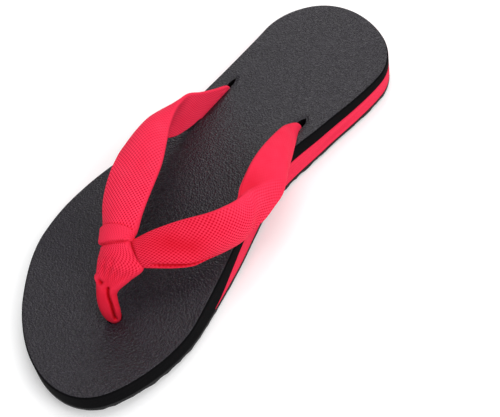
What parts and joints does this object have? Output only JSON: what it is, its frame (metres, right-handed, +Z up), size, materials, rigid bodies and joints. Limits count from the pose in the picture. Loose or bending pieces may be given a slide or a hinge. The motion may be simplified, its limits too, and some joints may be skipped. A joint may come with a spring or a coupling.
{
  "type": "toe post sandal",
  "caption": "Flat toe post sandal for the right foot: tread outsole, wedge midsole, contoured footbed and a folded canvas strap that runs from slots to a knotted toe post.",
  "frame": {"origin": "on the ground under the middle of the shoe's length and width", "axes": "+X to the toe, +Y to the big toe side (the wearer's left), +Z up"},
  "size_m": [0.255, 0.0946, 0.0476],
  "materials": {
    "rubber": "moulded matt black rubber with a triangular tread",
    "foam": "skived pink-red foam, matt",
    "leatherette": "charcoal leatherette with a fine pebble grain, satin",
    "canvas": "red cotton canvas in a coarse plain weave, matt"
  },
  "bodies": {
    "root": {"outsole": "rubber", "midsole": "foam", "footbed": "leatherette", "upper": "canvas", "knot_wrap": "canvas"}
  },
  "joints": []
}
